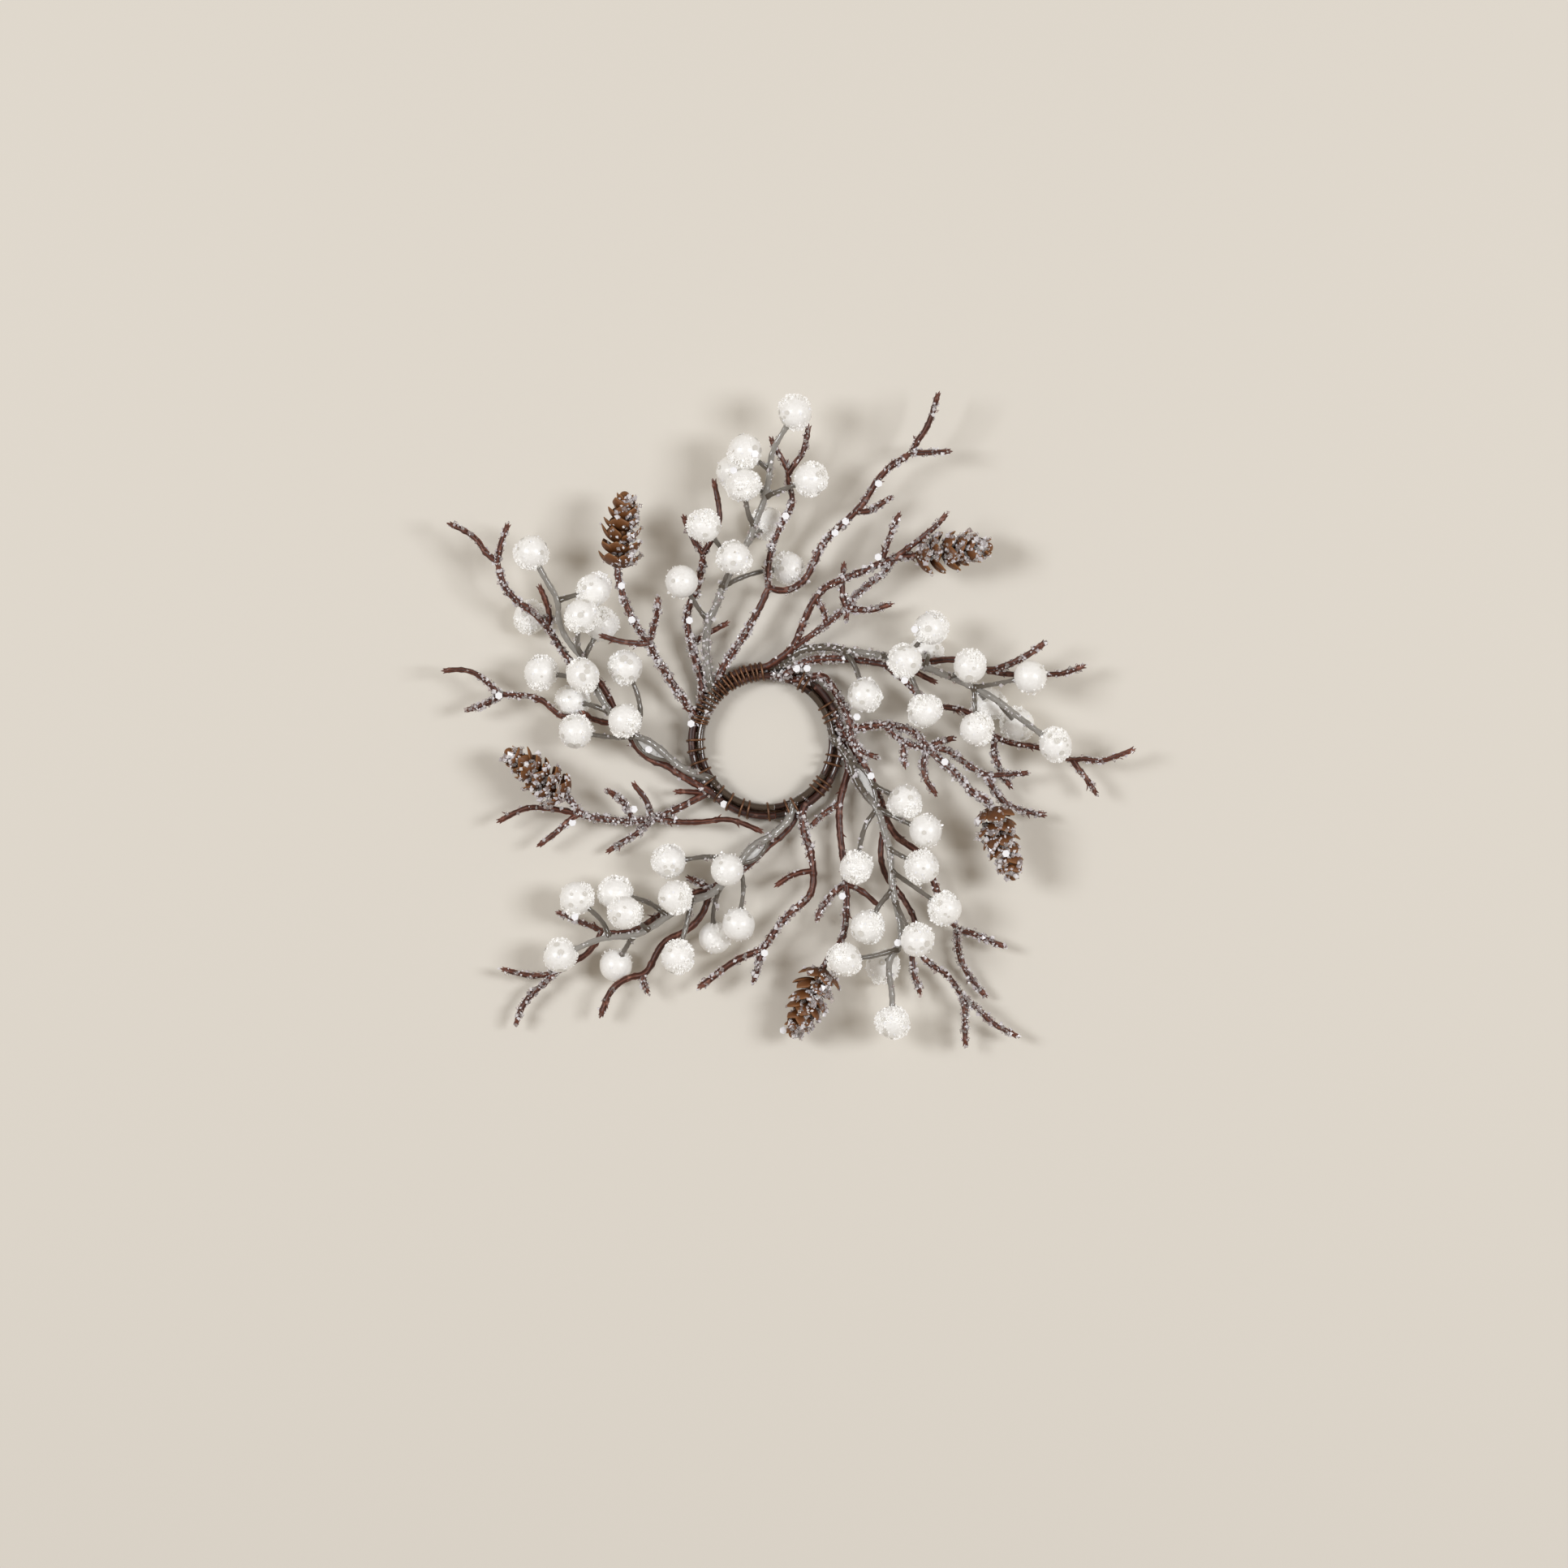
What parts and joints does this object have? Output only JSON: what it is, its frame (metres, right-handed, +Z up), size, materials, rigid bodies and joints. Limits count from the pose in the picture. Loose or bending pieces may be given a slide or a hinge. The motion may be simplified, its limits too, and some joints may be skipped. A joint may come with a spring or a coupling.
{
  "type": "candle ring",
  "caption": "Winter candle ring: a wire hoop bound with thin wire, with swirling twigs, frosted white berries and small pine cones round a central opening for a candle.",
  "frame": {"origin": "on the hoop's axis, at the table plane on which the lowest berries rest", "axes": "+Z up out of the table along the hoop's axis; +Y towards the top of the picture and +X towards its right"},
  "size_m": [0.2309, 0.2179, 0.0315],
  "materials": {
    "hoop_wire": "satin brown lacquer",
    "binding_wire": "satin copper brown",
    "grey_stem": "translucent grey, glossy, with glitter",
    "brown_twig": "satin reddish brown, grooved, with glitter",
    "berry": "pearly white with frost grains",
    "cone": "dry brown scales with frost glitter"
  },
  "bodies": {
    "root": {"hoop_wire_inner": "hoop_wire", "hoop_wire_outer": "hoop_wire", "binding_wire": "binding_wire", "berry_stem_1": "grey_stem", "berries_1": "berry", "cone_twig_1": "brown_twig", "cone_1": "cone", "berry_stem_2": "grey_stem", "berries_2": "berry", "cone_twig_2": "brown_twig", "cone_2": "cone", "berry_stem_3": "grey_stem", "berries_3": "berry", "cone_twig_3": "brown_twig", "cone_3": "cone", "berry_stem_4": "grey_stem", "berries_4": "berry", "cone_twig_4": "brown_twig", "cone_4": "cone", "berry_stem_5": "grey_stem", "berries_5": "berry", "cone_twig_5": "brown_twig", "cone_5": "cone", "side_twig_1": "brown_twig", "side_twig_2": "brown_twig", "side_twig_3": "brown_twig", "side_twig_4": "brown_twig", "side_twig_5": "brown_twig", "side_twig_6": "brown_twig", "side_twig_7": "brown_twig"}
  },
  "joints": []
}
